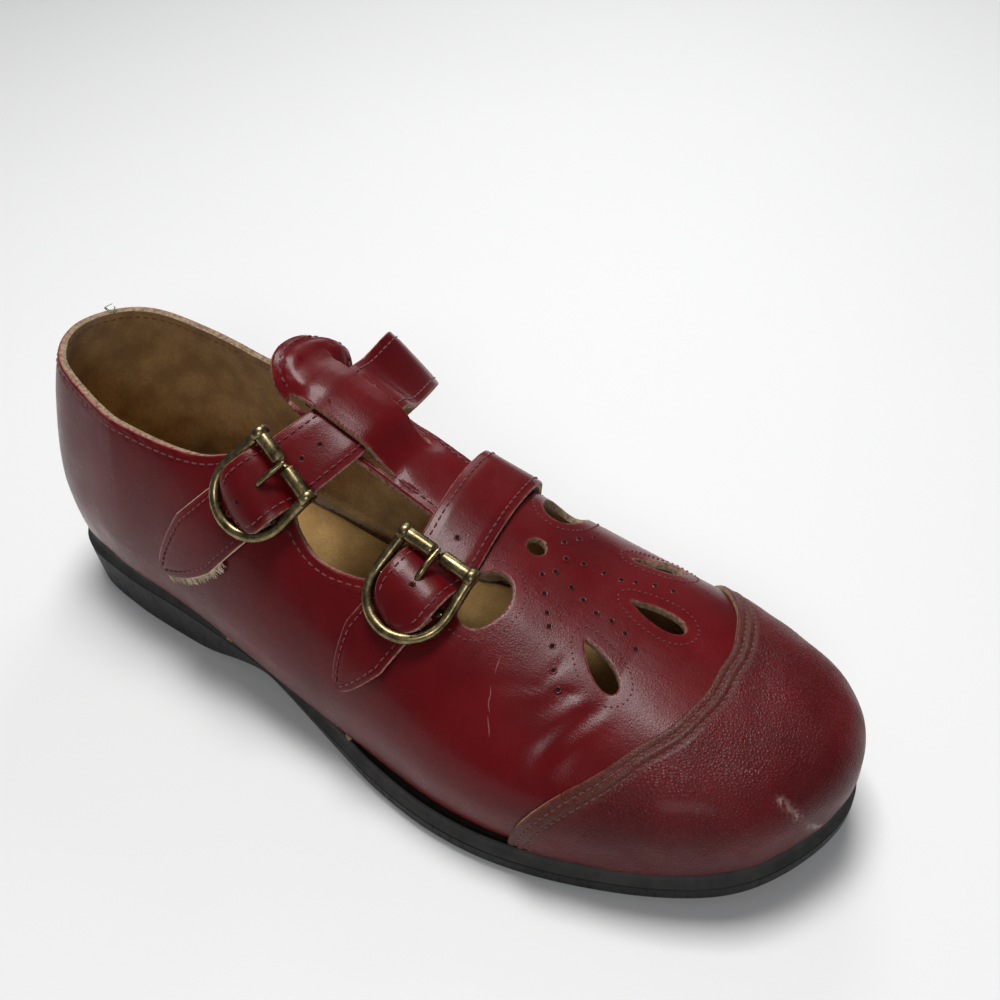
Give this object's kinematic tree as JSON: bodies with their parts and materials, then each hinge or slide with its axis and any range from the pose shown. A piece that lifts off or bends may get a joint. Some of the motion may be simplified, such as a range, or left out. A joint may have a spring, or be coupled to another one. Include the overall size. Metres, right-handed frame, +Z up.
{
  "type": "mary jane shoe",
  "caption": "Right mary jane shoe with a T bar, buckled ankle straps, cut-outs, a toe cap and a low rubber sole.",
  "frame": {"origin": "on the floor plane under the middle of the sole's outline", "axes": "+Z up, the toe toward -Y, the outer side with the buckles toward -X"},
  "size_m": [0.0957, 0.2548, 0.0933],
  "materials": {
    "leather": "glossy oxblood leather, lightly worn",
    "cap_leather": "grained oxblood leather, worn",
    "lining": "tan suede-like flesh side",
    "brass": "antique brass",
    "sole_rubber": "matt black moulded rubber"
  },
  "bodies": {
    "root": {"sole": "sole_rubber", "insole": "lining", "upper": "leather", "toe_cap": "cap_leather", "strap_rear": "leather", "strap_front": "leather", "buckle_tab_rear": "leather", "buckle_rear": "brass", "prong_rear": "brass", "buckle_tab_front": "leather", "buckle_front": "brass", "prong_front": "brass"}
  },
  "joints": []
}
